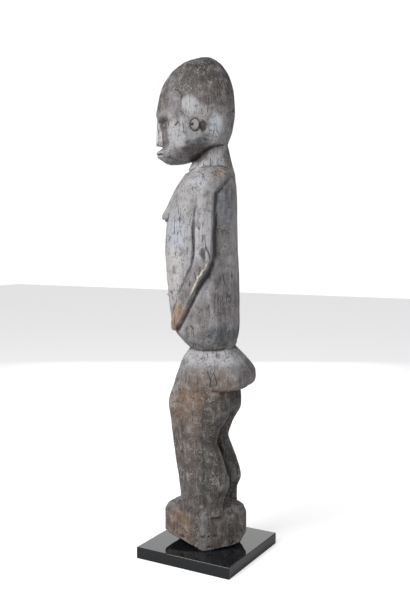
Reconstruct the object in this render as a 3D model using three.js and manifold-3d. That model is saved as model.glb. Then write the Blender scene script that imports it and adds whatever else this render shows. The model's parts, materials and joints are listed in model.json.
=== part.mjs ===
// A tall carved wooden female figure on a thin square display plate.
//
// The figure is one piece of wood: a rough foot block, two bent legs, wide hips with a projecting seat, a
// long torso with arms carved along it, and a domed head. The trunk turns to the figure's left as it rises.
// Units are millimetres, +Z is up, the origin is the centre of the plate's underside, and the figure's feet
// face -Y. Each body part is a loft of closed sections, and the sections are written in the figure's own
// frame: "side" is towards its left hand and "ahead" is the way it faces at that height.

import * as THREE from "three";
import { mergeVertices } from "three/addons/utils/BufferGeometryUtils.js";
import Module from "manifold-3d";

const wasm = await Module();
wasm.setup();

// Display plate
const PLATE_SIDE = 180;
const PLATE_THICKNESS = 20;
const PLATE_BEVEL = 1;
const REST_GAP = 0.3;

// Turn of the trunk about the vertical axis, in degrees to the figure's left
const TURN = [
  { z: 20, turn: 0 },
  { z: 95, turn: 1 },
  { z: 125, turn: 7 },
  { z: 265, turn: 9 },
  { z: 330, turn: 15 },
  { z: 400, turn: 19 },
  { z: 560, turn: 21 },
  { z: 650, turn: 24 },
  { z: 700, turn: 29.7 },
  { z: 860, turn: 29.7 },
];

// Half outlines of the sections, from the front centre round the side to the back centre, in parts of the
// half width and of the half depth
const DOME_OUTLINE = [[0, 1], [0.42, 0.96], [0.82, 0.66], [1, 0.05], [0.84, -0.72], [0.4, -1], [0, -1]];
const FACE_OUTLINE = [[0, 1], [0.3, 0.98], [0.86, 0.76], [1, 0.1], [0.88, -0.72], [0.4, -1], [0, -1]];
const NECK_OUTLINE = [[0, 1], [0.6, 0.9], [1, 0.3], [1, -0.4], [0.7, -1], [0, -1]];
const TORSO_OUTLINE = [[0, 1], [0.5, 0.92], [0.9, 0.6], [1, 0.08], [0.87, -0.5], [0.64, -1], [0, -1]];
const HIP_OUTLINE = [[0, 1], [0.55, 0.94], [0.92, 0.55], [1, -0.1], [0.85, -0.8], [0.35, -1], [0, -0.95]];
const LEG_OUTLINE = [[0, 1], [0.58, 0.9], [1, -0.02], [0.72, -0.78], [0, -1]];

// Sections from the chin to the crown: height, how far ahead the front and the back lie, half width, and how
// far the outline has changed from the flat face to the round dome
const HEAD_SECTIONS = [
  { z: 673, front: 66, back: 50, half: 11, dome: 0 },
  { z: 674.5, front: 71, back: 39, half: 22, dome: 0 },
  { z: 678, front: 75.5, back: 27, half: 31, dome: 0 },
  { z: 684, front: 77.5, back: 16, half: 38, dome: 0 },
  { z: 692, front: 77.5, back: 3, half: 43, dome: 0 },
  { z: 699, front: 76.5, back: -12, half: 46.5, dome: 0 },
  { z: 703.5, front: 76, back: -32, half: 48, dome: 0 },
  { z: 709, front: 75.5, back: -34.5, half: 49.5, dome: 0 },
  { z: 723, front: 75.5, back: -39.6, half: 51.5, dome: 0 },
  { z: 741, front: 77, back: -43.2, half: 52.5, dome: 0.1 },
  { z: 746.5, front: 84.5, back: -44, half: 52.5, dome: 0.5 },
  { z: 752, front: 87, back: -44.4, half: 52.5, dome: 0.8 },
  { z: 763, front: 85.6, back: -44.6, half: 52, dome: 1 },
  { z: 776, front: 83, back: -43.8, half: 51, dome: 1 },
  { z: 789, front: 79.6, back: -42.4, half: 48.5, dome: 1 },
  { z: 801, front: 75, back: -39.6, half: 45, dome: 1 },
  { z: 813, front: 67.5, back: -35.6, half: 40, dome: 1 },
  { z: 825, front: 58.5, back: -30.2, half: 34, dome: 1 },
  { z: 833, front: 49.5, back: -24.5, half: 28.5, dome: 1 },
  { z: 840.5, front: 36.5, back: -16.5, half: 21, dome: 1 },
  { z: 848, front: 12, back: -4, half: 8, dome: 1 },
];

// Sections of the neck, torso and hips
const NECK_SECTIONS = [
  { z: 630, front: 44, back: -44, half: 50 },
  { z: 650, front: 42, back: -45.5, half: 47 },
  { z: 663, front: 33.5, back: -42.6, half: 39 },
  { z: 676, front: 26, back: -39.5, half: 35 },
  { z: 700, front: 12, back: -34, half: 32 },
  { z: 716, front: 8, back: -30, half: 30 },
];
const TORSO_SECTIONS = [
  { z: 362, front: 25, back: -42, half: 40 },
  { z: 365.5, front: 30, back: -45, half: 47 },
  { z: 371, front: 36, back: -46.5, half: 52.5 },
  { z: 378, front: 42.5, back: -48, half: 57 },
  { z: 385, front: 49, back: -49, half: 60 },
  { z: 393, front: 54, back: -49.8, half: 62.5 },
  { z: 412, front: 61, back: -50.4, half: 65 },
  { z: 440, front: 64.5, back: -50.4, half: 67 },
  { z: 480, front: 68.4, back: -49.4, half: 69 },
  { z: 535, front: 71.4, back: -47.4, half: 71 },
  { z: 583, front: 66.5, back: -46.4, half: 74 },
  { z: 610, front: 58.5, back: -46, half: 76 },
  { z: 637, front: 48.5, back: -45.6, half: 74 },
  { z: 650, front: 40.5, back: -44, half: 68 },
  { z: 659, front: 31, back: -40, half: 58 },
  { z: 665, front: 18, back: -32, half: 44 },
];
const HIP_SECTIONS = [
  { z: 276, front: 40, back: -25, half: 36 },
  { z: 288, front: 50, back: -40, half: 50 },
  { z: 294, front: 54.5, back: -54, half: 57 },
  { z: 298, front: 54.5, back: -70, half: 60.5 },
  { z: 303, front: 54, back: -76.5, half: 62.5 },
  { z: 312, front: 52, back: -79, half: 63.5 },
  { z: 322, front: 48.5, back: -78.6, half: 62.5 },
  { z: 329, front: 46.5, back: -76, half: 60 },
  { z: 336, front: 44, back: -71, half: 57 },
  { z: 350, front: 37.5, back: -59, half: 49.5 },
  { z: 359, front: 31, back: -50, half: 43.5 },
  { z: 367, front: 27, back: -42, half: 40 },
];

// Sections of one leg, with the distance of its centre from the figure's middle plane
const LEG_SECTIONS = [
  { z: 78, front: 37, back: -43, half: 21, side: 27 },
  { z: 96, front: 36.5, back: -42, half: 20.5, side: 27 },
  { z: 112, front: 38, back: -43.5, half: 20.5, side: 27 },
  { z: 134, front: 40.5, back: -50, half: 22, side: 28 },
  { z: 160, front: 44.5, back: -43, half: 22, side: 28.5 },
  { z: 182, front: 47.5, back: -35, half: 21.5, side: 28.5 },
  { z: 206, front: 51, back: -27.5, half: 21.5, side: 29 },
  { z: 226, front: 53.5, back: -33.5, half: 23, side: 29.5 },
  { z: 262, front: 58.5, back: -49.5, half: 27, side: 30.5 },
  { z: 272, front: 58, back: -49.5, half: 28, side: 31 },
  { z: 296, front: 51.5, back: -47, half: 29, side: 31 },
  { z: 318, front: 32, back: -42, half: 24, side: 30 },
];

// Corners of the foot block in plan, with the height of its underside above the plate at each corner
const BLOCK_CORNERS = [
  { x: 36.5, y: -70, lift: 19 },
  { x: 48, y: -6, lift: 5 },
  { x: 53, y: 21, lift: 0 },
  { x: 21, y: 46, lift: 2 },
  { x: -4, y: 62, lift: 5 },
  { x: -26, y: 63, lift: 19 },
  { x: -50, y: 35, lift: 9 },
  { x: -51, y: -30, lift: 5 },
  { x: -32, y: -66, lift: 14 },
];
const BLOCK_CONTACT = 0.62;
const BLOCK_RIM_HEIGHT = 56;
const BLOCK_SHOULDER = { inset: 0.92, height: 66 };
const BLOCK_TOP = { inset: 0.55, height: 78 };

// Arms: centre line points (side, ahead, height), with the half width across and the half thickness outwards
const ARM_POINTS = [
  { side: 48, ahead: -8, z: 644, across: 20, out: 13 },
  { side: 61, ahead: -5, z: 622, across: 19, out: 15 },
  { side: 68.5, ahead: -3, z: 575, across: 16.5, out: 13.5 },
  { side: 70, ahead: -4, z: 528, across: 15, out: 12.5 },
  { side: 69, ahead: 1, z: 503, across: 13.5, out: 12 },
  { side: 65.5, ahead: 13, z: 480, across: 11.5, out: 10.5 },
  { side: 57.5, ahead: 29, z: 446, across: 11, out: 10 },
  { side: 47.5, ahead: 44, z: 414, across: 11, out: 9.5 },
  { side: 41, ahead: 51, z: 396, across: 6.5, out: 6 },
];

// Breasts: long wedges that widen downwards along the chest and are cut off below
const BREAST_SECTIONS = [
  { z: 574.5, front: 58, back: 30, half: 12, side: 25 },
  { z: 577, front: 68, back: 25, half: 15.5, side: 25 },
  { z: 581, front: 73.2, back: 20, half: 18, side: 25 },
  { z: 584, front: 74.2, back: 20, half: 19, side: 25 },
  { z: 596, front: 67.8, back: 20, half: 20, side: 26 },
  { z: 623, front: 54.4, back: 12, half: 20, side: 28 },
  { z: 650, front: 37.5, back: 8, half: 15, side: 29 },
];

// Navel, nose, lips, eyes and ears
const NAVEL = { ahead: 58, tipAhead: 71.5, z: 453, base: 8, tip: 4.5, round: 2 };
const NOSE = { top: 749, bottom: 702.5, ridgeTop: 85.6, ridgeBottom: 87.8, plane: 73.5, root: 60 };
const NOSE_HALF = { top: 7, bottom: 12.5, ridge: 3 };
const LIP_BACK = 62;
const UPPER_LIP = [
  { z: 688, front: 86, half: 17 },
  { z: 690, front: 87.4, half: 17 },
  { z: 693, front: 85, half: 15 },
  { z: 697.5, front: 79, half: 10 },
];
const LOWER_LIP = [
  { z: 678, front: 76, half: 12 },
  { z: 681, front: 81, half: 15 },
  { z: 684.3, front: 85.6, half: 16.5 },
  { z: 686.6, front: 84.4, half: 16.5 },
];
const EYE = { side: 24, ahead: 71, z: 734, halfLength: 8, halfHeight: 3.2, depth: 3, outwardTurn: 0.45 };
const EAR = { ahead: 21, z: 732, radius: 8.6, narrow: 0.8, inner: 40, outer: 55 };
const EAR_HOLE = { ahead: 26.5, z: 731, radius: 2.3, inner: 47, outer: 57 };
const EAR_RECESS = { ahead: 8, z: 730, halfLength: 6.5, halfHeight: 11, inner: 47.5, outer: 60 };

// How far each outline keeps its corners, from 0, a smooth curve, to 1, sharp corners
const CRISP = { head: 0.4, neck: 0.3, torso: 0.45, hips: 0.5, leg: 0.5, breast: 0.2, lip: 0.1, block: 0.75 };

// Fineness of the facets: points at each corner, sides of round parts, and the tallest step between two rows
const ARC_STEPS = 3;
const BLOCK_ARC_STEPS = 4;
const ROUND_SIDES = 10;
const EYE_ROWS = 6;
const LIMB_ROWS = 2;
const ROW_STEP = 14;
const TORSO_ROW_STEP = 24;
const LIP_ROW_STEP = 4;
const WELD_DISTANCE = 1e-4;

const MATERIALS = {
  wood: new THREE.MeshStandardMaterial({ color: 0x7d7372, roughness: 0.78, metalness: 0 }),
  plate: new THREE.MeshStandardMaterial({ color: 0x14161a, roughness: 0.12, metalness: 0 }),
};

// Value of one key at height z, by a cubic curve through the rows that never overshoots them
function along(rows, key, z) {
  const last = rows.length - 1;
  if (z <= rows[0].z) return rows[0][key];
  if (z >= rows[last].z) return rows[last][key];
  const secant = (i) => (rows[i + 1][key] - rows[i][key]) / (rows[i + 1].z - rows[i].z);
  const slope = (i) => {
    if (i === 0) return secant(0);
    if (i === last) return secant(last - 1);
    const before = secant(i - 1);
    const after = secant(i);
    return before * after <= 0 ? 0 : (2 * before * after) / (before + after);
  };
  const i = rows.findIndex((row, k) => k < last && z < rows[k + 1].z);
  const span = rows[i + 1].z - rows[i].z;
  const u = (z - rows[i].z) / span;
  const v = 1 - u;
  const ends = rows[i][key] * (1 + 2 * u) * v * v + rows[i + 1][key] * (3 - 2 * u) * u * u;
  return ends + span * u * v * (slope(i) * v - slope(i + 1) * u);
}

// A point of the figure's own frame at its height, turned with the trunk into the part's frame
function turned(side, ahead, z) {
  const angle = THREE.MathUtils.degToRad(along(TURN, "turn", z));
  const sin = Math.sin(angle);
  const cos = Math.cos(angle);
  return new THREE.Vector3(side * cos + ahead * sin, side * sin - ahead * cos, z);
}

// Closed outline round a polygon: between edge midpoints it runs part way from a smooth arc to the corner
function roundedPolygon(corners, steps, crisp) {
  const points = [];
  corners.forEach((corner, i) => {
    const before = corners.at(i - 1).clone().lerp(corner, 0.5);
    const after = corners[(i + 1) % corners.length].clone().lerp(corner, 0.5);
    for (let k = 0; k < steps; k += 1) {
      const u = (k + 0.5) / steps;
      const arc = before.clone().lerp(corner, u).lerp(corner.clone().lerp(after, u), u);
      const bend = u < 0.5 ? before.clone().lerp(corner, 2 * u) : corner.clone().lerp(after, 2 * u - 1);
      points.push(arc.lerp(bend, crisp));
    }
  });
  return points;
}

// Unit section outline from a half outline, mirrored, rounded, and stretched to reach exactly -1 and 1
function unitOutline(half, crisp) {
  const mirrored = half.slice(1, -1).reverse().map(([side, ahead]) => [-side, ahead]);
  const corners = [...half, ...mirrored].map(([side, ahead]) => new THREE.Vector2(side, ahead));
  const points = roundedPolygon(corners, ARC_STEPS, crisp);
  const wide = Math.max(...points.map((p) => p.x));
  const high = Math.max(...points.map((p) => p.y));
  const low = Math.min(...points.map((p) => p.y));
  const middle = (high + low) / 2;
  return points.map((p) => new THREE.Vector2(p.x / wide, (p.y - middle) / (high - middle)));
}

// Solid between rings of equally many points, closed by a fan at each end
function ringLoft(rings) {
  const count = rings[0].length;
  const centre = (ring) => ring.reduce((sum, p) => sum.add(p), new THREE.Vector3()).divideScalar(count);
  const points = [...rings.flat(), centre(rings[0]), centre(rings.at(-1))];
  const index = [];
  const bottom = points.length - 2;
  const top = points.length - 1;
  const lastRow = (rings.length - 1) * count;
  for (let k = 0; k < count; k += 1) {
    const next = (k + 1) % count;
    for (let row = 0; row < lastRow; row += count) {
      index.push(row + k, row + next, row + count + next, row + k, row + count + next, row + count + k);
    }
    index.push(bottom, next, k, top, lastRow + k, lastRow + next);
  }
  const geometry = new THREE.BufferGeometry().setFromPoints(points);
  geometry.setIndex(index);
  return geometry;
}

// Body part from stacked sections: rows are added between the named sections so that no step is over maxStep.
// Where the sections have a "dome" value, the outline changes with it into the second half outline.
function sectionLoft(sections, half, crisp, { second = half, maxStep = ROW_STEP, mirror = 1 } = {}) {
  const outline = unitOutline(half, crisp);
  const secondOutline = unitOutline(second, crisp);
  const heights = sections.slice(0, -1).flatMap((row, i) => {
    const span = sections[i + 1].z - row.z;
    const steps = Math.ceil(span / maxStep);
    return Array.from({ length: steps }, (_, k) => row.z + (span * k) / steps);
  });
  heights.push(sections.at(-1).z);
  const rings = heights.map((z) => {
    const front = along(sections, "front", z);
    const back = along(sections, "back", z);
    const width = along(sections, "half", z);
    const offset = "side" in sections[0] ? mirror * along(sections, "side", z) : 0;
    const change = "dome" in sections[0] ? along(sections, "dome", z) : 0;
    return outline.map((point, k) => {
      const p = point.clone().lerp(secondOutline[k], change);
      const ahead = (front + back) / 2 + (p.y * (front - back)) / 2;
      return turned(offset + p.x * width, ahead, z);
    });
  });
  return ringLoft(rings);
}

// Limb along a curve: oval sections whose thickness points away from the figure's axis
function limbLoft(points, mirror) {
  const rows = points.map((p) => ({ ...p, at: turned(mirror * p.side, p.ahead, p.z) }));
  const path = new THREE.CatmullRomCurve3(rows.map((row) => row.at), false, "centripetal");
  const steps = (rows.length - 1) * LIMB_ROWS;
  const rings = Array.from({ length: steps + 1 }, (_, i) => {
    const t = i / steps;
    const at = path.getPoint(t);
    const tangent = path.getTangent(t);
    const out = new THREE.Vector3(at.x, at.y, 0).normalize();
    out.addScaledVector(tangent, -out.dot(tangent)).normalize();
    const across = tangent.clone().cross(out);
    const row = Math.min(Math.floor(t * (rows.length - 1)), rows.length - 2);
    const u = t * (rows.length - 1) - row;
    const halfAcross = THREE.MathUtils.lerp(rows[row].across, rows[row + 1].across, u);
    const halfOut = THREE.MathUtils.lerp(rows[row].out, rows[row + 1].out, u);
    return Array.from({ length: ROUND_SIDES }, (_, k) => {
      const angle = (2 * Math.PI * k) / ROUND_SIDES;
      return at.clone()
        .addScaledVector(out, halfOut * Math.cos(angle))
        .addScaledVector(across, halfAcross * Math.sin(angle));
    });
  });
  return ringLoft(rings);
}

// Navel: a short cone that points ahead, with a rounded tip
function navel() {
  const base = turned(0, NAVEL.ahead, NAVEL.z);
  const axis = turned(0, NAVEL.tipAhead, NAVEL.z).sub(base);
  const length = axis.length();
  const arc = Array.from({ length: ARC_STEPS + 1 }, (_, k) => {
    const angle = (Math.PI * k) / (2 * ARC_STEPS);
    const drop = NAVEL.round * (1 - Math.sin(angle));
    return new THREE.Vector2(k === ARC_STEPS ? 0 : NAVEL.tip * Math.cos(angle), length - drop);
  });
  const shape = [new THREE.Vector2(0, 0), new THREE.Vector2(NAVEL.base, 0), ...arc];
  const geometry = new THREE.LatheGeometry(shape, ROUND_SIDES);
  const turn = new THREE.Quaternion().setFromUnitVectors(new THREE.Vector3(0, 1, 0), axis.normalize());
  return geometry.applyQuaternion(turn).translate(base.x, base.y, base.z);
}

// Closed geometry as a manifold solid
function toSolid(geometry) {
  const bare = new THREE.BufferGeometry();
  bare.setAttribute("position", geometry.getAttribute("position").clone());
  bare.setIndex(geometry.getIndex() ? geometry.getIndex().clone() : null);
  const merged = mergeVertices(bare, WELD_DISTANCE);
  const corners = merged.getIndex().array;
  const triVerts = [];
  for (let i = 0; i < corners.length; i += 3) {
    const [a, b, c] = [corners[i], corners[i + 1], corners[i + 2]];
    if (a !== b && b !== c && c !== a) triVerts.push(a, b, c);
  }
  const vertProperties = new Float32Array(merged.getAttribute("position").array);
  const mesh = new wasm.Mesh({ numProp: 3, vertProperties, triVerts: new Uint32Array(triVerts) });
  const solid = new wasm.Manifold(mesh);
  if (solid.volume() <= 0) throw new Error("A solid is turned inside out.");
  return solid;
}

// Manifold solid back to a geometry with flat facets
function toGeometry(solid) {
  const mesh = solid.getMesh();
  const geometry = new THREE.BufferGeometry();
  geometry.setAttribute("position", new THREE.BufferAttribute(mesh.vertProperties, 3));
  geometry.setIndex(new THREE.BufferAttribute(mesh.triVerts, 1));
  return geometry;
}

// Foot block: contact patch, lifted underside edge, upright sides, and a top that rises towards the legs
function footBlock() {
  const floor = PLATE_THICKNESS + REST_GAP;
  const ring = (scale, height) => {
    const corners = BLOCK_CORNERS.map((c) => new THREE.Vector3(c.x * scale, c.y * scale, floor + height(c)));
    return roundedPolygon(corners, BLOCK_ARC_STEPS, CRISP.block);
  };
  return ringLoft([
    ring(BLOCK_CONTACT, () => 0),
    ring(1, (corner) => corner.lift),
    ring(1, () => BLOCK_RIM_HEIGHT),
    ring(BLOCK_SHOULDER.inset, () => BLOCK_SHOULDER.height),
    ring(BLOCK_TOP.inset, () => BLOCK_TOP.height),
  ]);
}

// Nose: a long wedge with a flat ridge, widening towards its cut-off base
function nose() {
  const { root, plane } = NOSE;
  const section = (z, half, ridge) => {
    const rightSide = [[-half, root], [-half, plane], [-NOSE_HALF.ridge, ridge]];
    const leftSide = [[NOSE_HALF.ridge, ridge], [half, plane], [half, root]];
    return [...rightSide, ...leftSide].map(([side, ahead]) => turned(side, ahead, z));
  };
  return ringLoft([
    section(NOSE.bottom, NOSE_HALF.bottom, NOSE.ridgeBottom),
    section(NOSE.top, NOSE_HALF.top, NOSE.ridgeTop),
  ]);
}

// Lip: a thin slab with a rounded front edge
function lip(rows) {
  const sections = rows.map((row) => ({ ...row, back: LIP_BACK }));
  return sectionLoft(sections, NECK_OUTLINE, CRISP.lip, { maxStep: LIP_ROW_STEP });
}

// Eye: a small flat almond on the face
function eye(mirror) {
  const almond = new THREE.SphereGeometry(1, ROUND_SIDES, EYE_ROWS);
  almond.scale(EYE.halfLength, EYE.depth, EYE.halfHeight);
  return placedOnHead(almond, mirror * EYE.side, EYE.ahead, EYE.z, mirror * EYE.outwardTurn);
}

// Geometry whose own x points to the side and -y ahead, set on the head
function placedOnHead(geometry, side, ahead, z, extraTurn = 0) {
  const at = turned(side, ahead, z);
  geometry.rotateZ(THREE.MathUtils.degToRad(along(TURN, "turn", z)) + extraTurn);
  return geometry.translate(at.x, at.y, at.z);
}

// Round peg through the side of the head, between two distances from the middle plane
function sidePeg({ ahead, z, radius, narrow = 1, inner, outer }, mirror) {
  const peg = new THREE.CylinderGeometry(radius, radius, outer - inner, ROUND_SIDES);
  peg.rotateZ(Math.PI / 2).scale(1, narrow, 1);
  return placedOnHead(peg, (mirror * (inner + outer)) / 2, ahead, z);
}

// Sunk square behind the ear
function earRecess(mirror) {
  const { ahead, z, halfLength, halfHeight, inner, outer } = EAR_RECESS;
  const box = new THREE.BoxGeometry(outer - inner, 2 * halfLength, 2 * halfHeight);
  return placedOnHead(box, (mirror * (inner + outer)) / 2, ahead, z);
}

// The whole carving as one solid
function carvedFigure() {
  const bothSides = [1, -1];
  const solids = [
    footBlock(),
    ...bothSides.map((mirror) => sectionLoft(LEG_SECTIONS, LEG_OUTLINE, CRISP.leg, { mirror })),
    sectionLoft(HIP_SECTIONS, HIP_OUTLINE, CRISP.hips),
    sectionLoft(TORSO_SECTIONS, TORSO_OUTLINE, CRISP.torso, { maxStep: TORSO_ROW_STEP }),
    sectionLoft(NECK_SECTIONS, NECK_OUTLINE, CRISP.neck),
    sectionLoft(HEAD_SECTIONS, FACE_OUTLINE, CRISP.head, { second: DOME_OUTLINE }),
    ...bothSides.map((mirror) => limbLoft(ARM_POINTS, mirror)),
    ...bothSides.map((mirror) => sectionLoft(BREAST_SECTIONS, NECK_OUTLINE, CRISP.breast, { mirror })),
    navel(),
    nose(),
    lip(UPPER_LIP),
    lip(LOWER_LIP),
    ...bothSides.map(eye),
  ];
  let figure = solids.map(toSolid).reduce((joined, solid) => joined.add(solid));
  for (const mirror of bothSides) {
    figure = figure.subtract(toSolid(earRecess(mirror)));
    figure = figure.add(toSolid(sidePeg(EAR, mirror)));
    figure = figure.subtract(toSolid(sidePeg(EAR_HOLE, mirror)));
  }
  return toGeometry(figure);
}

// Square plate with a small bevel all round its edges
function displayPlate() {
  const half = PLATE_SIDE / 2 - PLATE_BEVEL;
  const square = new THREE.Shape([[-half, -half], [half, -half], [half, half], [-half, half]]
    .map(([x, y]) => new THREE.Vector2(x, y)));
  const geometry = new THREE.ExtrudeGeometry(square, {
    depth: PLATE_THICKNESS - 2 * PLATE_BEVEL,
    bevelSize: PLATE_BEVEL,
    bevelThickness: PLATE_BEVEL,
    bevelSegments: 1,
  });
  return toGeometry(toSolid(geometry.translate(0, 0, PLATE_BEVEL)));
}

function namedMesh(name, geometry, material) {
  const mesh = new THREE.Mesh(geometry, material);
  mesh.name = name;
  return mesh;
}

const group = new THREE.Group();
group.add(namedMesh("display_plate", displayPlate(), MATERIALS.plate));
group.add(namedMesh("carved_figure", carvedFigure(), MATERIALS.wood));

export default group;
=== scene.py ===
# %% [markdown]
# This lesson dresses a carved wooden figure on a black display plate. The real carving is one log, cut with an
# adze, rubbed by hands and then left to dry out and turn grey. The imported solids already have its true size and
# pose, so they come in first and stay fixed, and everything made here is fitted to them.

# %% Load the fixed frame
import json

import bpy
import numpy as np
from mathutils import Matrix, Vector

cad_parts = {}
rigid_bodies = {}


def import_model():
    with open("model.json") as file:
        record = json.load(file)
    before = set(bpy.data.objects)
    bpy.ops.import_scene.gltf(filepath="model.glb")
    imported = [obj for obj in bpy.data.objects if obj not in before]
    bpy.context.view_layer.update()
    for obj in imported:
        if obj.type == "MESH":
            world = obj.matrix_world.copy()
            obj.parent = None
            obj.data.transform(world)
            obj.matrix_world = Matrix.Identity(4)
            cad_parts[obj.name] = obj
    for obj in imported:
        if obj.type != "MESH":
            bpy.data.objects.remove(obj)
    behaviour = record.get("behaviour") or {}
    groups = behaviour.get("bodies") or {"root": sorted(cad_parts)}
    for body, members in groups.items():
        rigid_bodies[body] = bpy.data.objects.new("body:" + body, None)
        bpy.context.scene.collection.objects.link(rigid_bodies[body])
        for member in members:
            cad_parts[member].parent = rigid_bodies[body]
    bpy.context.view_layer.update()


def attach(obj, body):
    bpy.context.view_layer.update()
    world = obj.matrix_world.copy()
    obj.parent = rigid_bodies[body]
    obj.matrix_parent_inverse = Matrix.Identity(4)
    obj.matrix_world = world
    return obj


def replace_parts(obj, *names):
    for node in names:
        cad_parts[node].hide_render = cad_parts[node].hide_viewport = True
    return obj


for leftover in list(bpy.data.objects):
    bpy.data.objects.remove(leftover)
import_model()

# %% [markdown]
# A carver thinks in front, back and sides. So each body part is written as a table of level sections, in
# millimetres, in the figure's own directions: "side" is towards its left hand and "ahead" is the way it faces.
# The trunk also turns to its left as it rises, and one function applies that turn.

# %% Tables and the turning trunk
MM = 0.001


def table(names, *rows):
    """Columns of a table as arrays, by name."""
    return dict(zip(names.split(), np.array(rows, float).T))


def glide(known, values, wanted):
    """Smooth value between rows: a cubic on each span, whose slope at a row is the harmonic mean of the
    slopes on both sides, or zero at a turning point, so that it never overshoots the rows."""
    secant = np.diff(values) / np.diff(known)
    before, after = secant[:-1], secant[1:]
    same_way = before * after > 0
    slope = np.empty(len(known))
    slope[0], slope[-1] = secant[0], secant[-1]
    slope[1:-1] = np.where(same_way, 2 * before * after / np.where(same_way, before + after, 1), 0)
    at = np.clip(wanted, known[0], known[-1])
    row = np.clip(np.searchsorted(known, at, side="right") - 1, 0, len(known) - 2)
    span = known[row + 1] - known[row]
    u = (at - known[row]) / span
    v = 1 - u
    ends = values[row] * (1 + 2 * u) * v * v + values[row + 1] * (3 - 2 * u) * u * u
    return ends + span * u * v * (slope[row] * v - slope[row + 1] * u)


def along(rows, key, z):
    """Value of one column of a table at height z."""
    return glide(rows["z"], rows[key], z)


TURN = table("z turn", (20, 0), (95, 1), (125, 7), (265, 9), (330, 15), (400, 19), (560, 21), (650, 24),
             (700, 29.7), (860, 29.7))


def turned(side, ahead, z):
    """Points of the figure's own frame, turned about the upright axis by the trunk's angle at height z:
    x = side cos + ahead sin, y = side sin - ahead cos."""
    angle = np.radians(along(TURN, "turn", z))
    x = side * np.cos(angle) + ahead * np.sin(angle)
    y = side * np.sin(angle) - ahead * np.cos(angle)
    return np.stack(np.broadcast_arrays(x, y, z), axis=-1)


def unturned(points):
    """The same turn backwards: side, ahead and height of points in the row frame."""
    x, y, z = points.T
    angle = np.radians(along(TURN, "turn", z))
    return np.stack([x * np.cos(angle) + y * np.sin(angle), x * np.sin(angle) - y * np.cos(angle), z])


print("The head is turned by", float(along(TURN, "turn", 800.0)), "degrees")

# %% [markdown]
# A section is drawn as a few corners, as a carver blocks it out, and then rounded. How crisp the corners stay
# decides whether a part reads as cut or as rubbed smooth.

# %% Outlines and lofts
ROW_STEP = 3.0
CORNER_STEPS = 8


def rounded(corners, crisp, steps=CORNER_STEPS):
    """Closed outline round a polygon: between the midpoints of two edges it is a quadratic arc about the
    corner, moved part way, by crisp, to the two straight edges."""
    corner = corners[:, None]
    before = (np.roll(corners, 1, axis=0)[:, None] + corner) / 2
    after = (np.roll(corners, -1, axis=0)[:, None] + corner) / 2
    u = ((np.arange(steps) + 0.5) / steps)[None, :, None]
    arc = (1 - u) ** 2 * before + 2 * u * (1 - u) * corner + u ** 2 * after
    bend = np.where(u < 0.5, before + (corner - before) * 2 * u, corner + (after - corner) * (2 * u - 1))
    return (arc + (bend - arc) * crisp).reshape(-1, corners.shape[1])


def unit_outline(half, crisp):
    """Whole outline from its half, from the front round the side to the back, scaled to run from -1 to 1."""
    half = np.array(half, float)
    points = rounded(np.concatenate([half, half[-2:0:-1] * (-1, 1)]), crisp)
    low, high = points.min(axis=0), points.max(axis=0)
    return (points - (low + high) / 2) / ((high - low) / 2)


def skin(grid):
    """Closed skin over a grid of rings: four-sided faces between neighbouring rings and one cap at each end."""
    rings, around = grid.shape[:2]
    here = np.arange(rings * around).reshape(rings, around)
    beside = np.roll(here, -1, axis=1)
    quads = np.stack([here[:-1], beside[:-1], beside[1:], here[1:]], axis=-1).reshape(-1, 4)
    return grid.reshape(-1, 3), quads.tolist() + [here[0][::-1].tolist(), here[-1].tolist()]


def body(rows, half, crisp, mirror=1, second=None):
    """Body part from stacked sections: side = offset + outline x half width, ahead = middle of front and back +
    outline x half depth, at every height. The column "dome" changes the outline into a second one."""
    z = np.unique(np.append(rows["z"], np.arange(rows["z"][0], rows["z"][-1], ROW_STEP)))[:, None]
    front, back, width = (along(rows, key, z) for key in ("front", "back", "half"))
    shape = unit_outline(half, crisp)[None]
    if second:
        shape = shape + (unit_outline(second, crisp) - shape) * along(rows, "dome", z)[..., None]
    offset = mirror * along(rows, "side", z) if "side" in rows else 0
    side = offset + shape[..., 0] * width
    ahead = (front + back) / 2 + shape[..., 1] * (front - back) / 2
    return skin(turned(side, ahead, z))


def limb(rows, half_section, crisp, mirror=1):
    """Limb along a curve: the section is carried down the path, with its thickness pointing out from the
    figure's upright axis and its width across the path."""
    place = np.stack([rows["side"], rows["ahead"], rows["z"]])
    reach = np.append(0, np.cumsum(np.linalg.norm(np.diff(place), axis=0)))
    at = np.linspace(0, reach[-1], int(reach[-1] / ROW_STEP))
    centre = np.stack([glide(reach, line, at) for line in place], axis=-1)
    heading = np.gradient(centre, axis=0)
    heading /= np.linalg.norm(heading, axis=1, keepdims=True)
    out = centre * (1, 1, 0)
    out -= heading * (out * heading).sum(axis=1, keepdims=True)
    out /= np.linalg.norm(out, axis=1, keepdims=True)
    across = np.cross(heading, out)
    section = rounded(np.array(half_section, float), crisp)
    wide = section[:, 0] * glide(reach, rows["across"], at)[:, None]
    thick = section[:, 1] * glide(reach, rows["out"], at)[:, None]
    grid = centre[:, None] + across[:, None] * wide[..., None] + out[:, None] * thick[..., None]
    return skin(turned(mirror * grid[..., 0], grid[..., 1], grid[..., 2]))


# %% [markdown]
# The head is one long form: a flat face that turns into a high dome above the brow. The neck leans back from
# the chest, and the torso is a deep barrel, flat behind and cut off sharply above the waist.

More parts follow.
